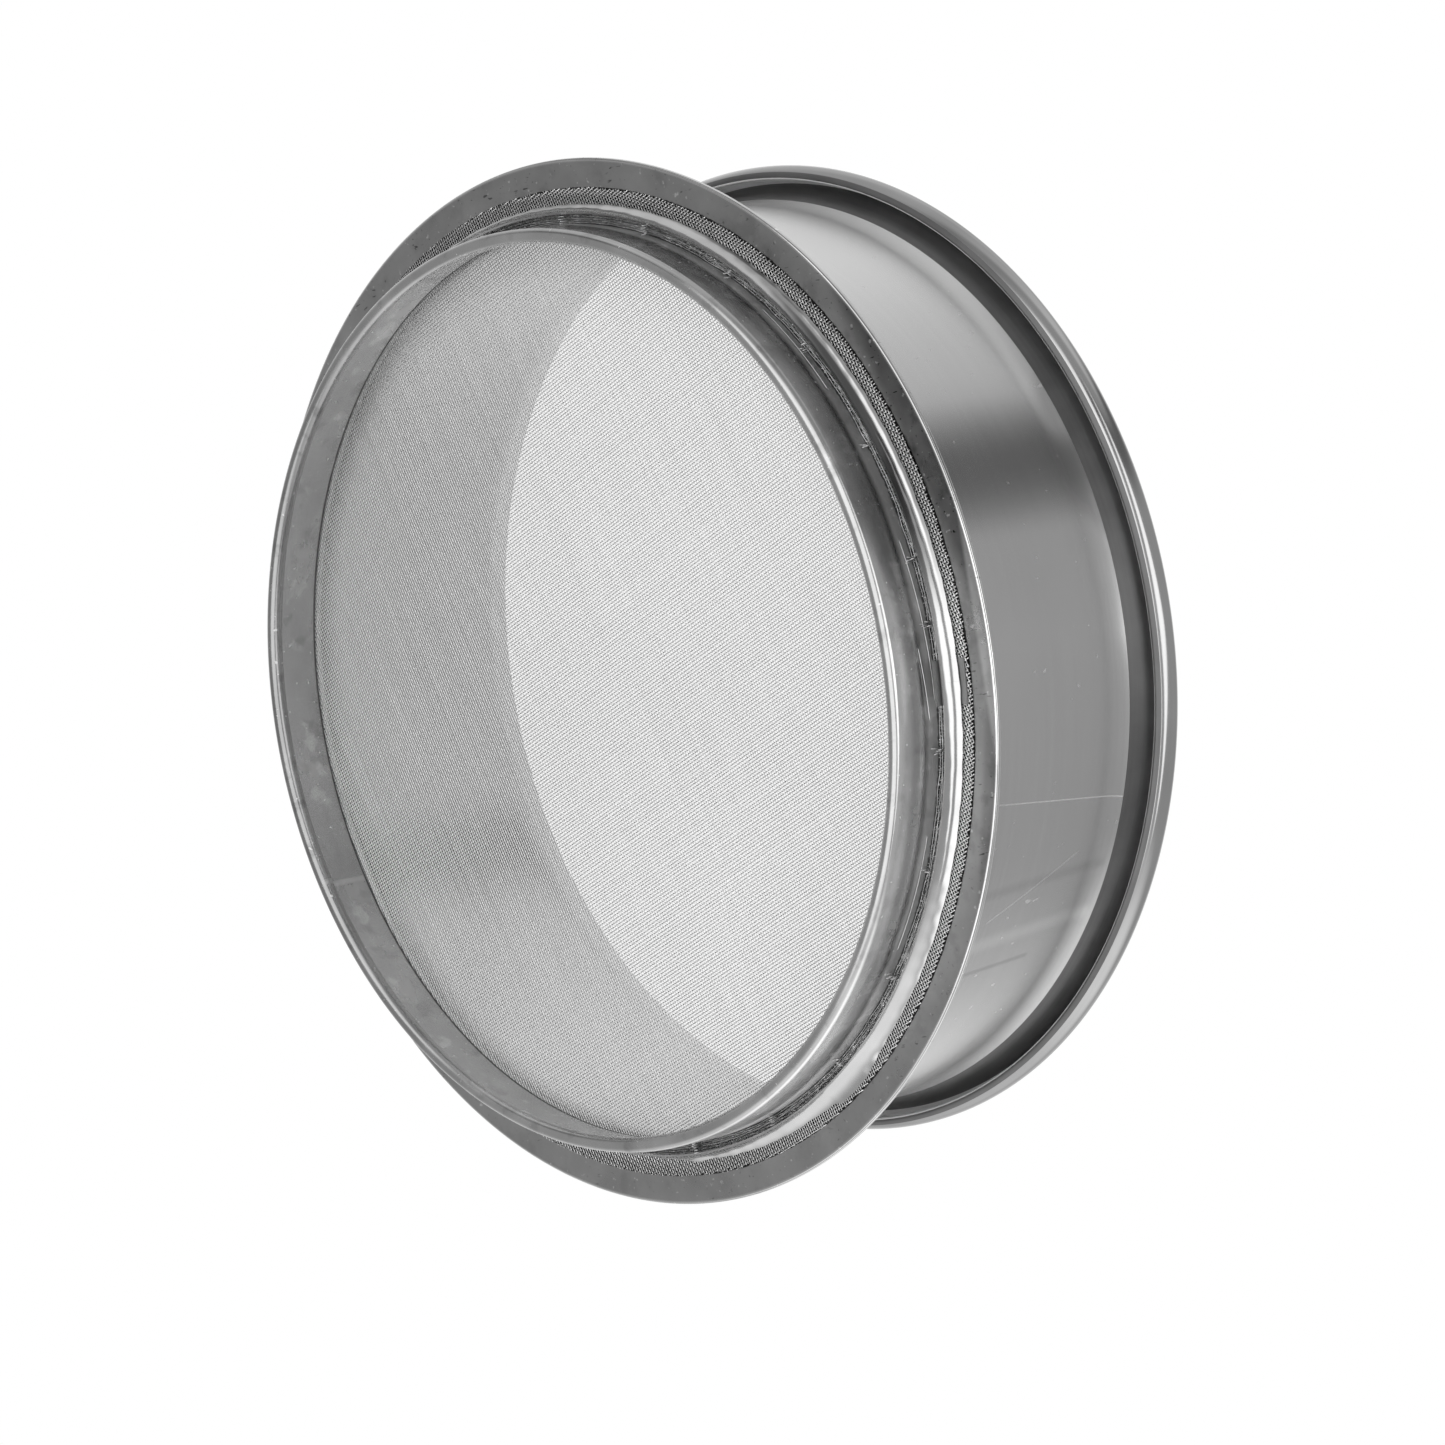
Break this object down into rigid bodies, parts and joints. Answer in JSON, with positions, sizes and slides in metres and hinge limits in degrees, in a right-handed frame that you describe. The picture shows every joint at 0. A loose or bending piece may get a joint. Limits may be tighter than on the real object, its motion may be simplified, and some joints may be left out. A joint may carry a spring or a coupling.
{
  "type": "soil sieve",
  "caption": "Round sheet-steel soil sieve: a drum with a hemmed flange and a flared, rimmed mouth, a disc of wire cloth below it, and a skirt ring held on by a clamp hoop.",
  "frame": {"origin": "centre of the skirt's rolled edge, at the level that the sieve stands on", "axes": "+Z along the sieve's axis, from the skirt up to the open mouth; +X within a few degrees of the clamp ring's joint"},
  "size_m": [0.165, 0.165, 0.056],
  "materials": {
    "polished_sheet": "polished sheet steel, dulled in patches",
    "wire_cloth": "drawn wire, plain weave",
    "dull_sheet": "dull sheet steel, stained",
    "bright_hoop": "bright sheet steel",
    "splice_strap": "satin sheet steel",
    "frayed_cloth": "frayed wire cloth, dirty"
  },
  "bodies": {
    "root": {"drum": "polished_sheet", "sieve_cloth": "wire_cloth", "skirt_ring": "dull_sheet", "clamp_ring": "bright_hoop", "clamp_splice": "splice_strap", "packing_strip": "frayed_cloth"}
  },
  "joints": []
}
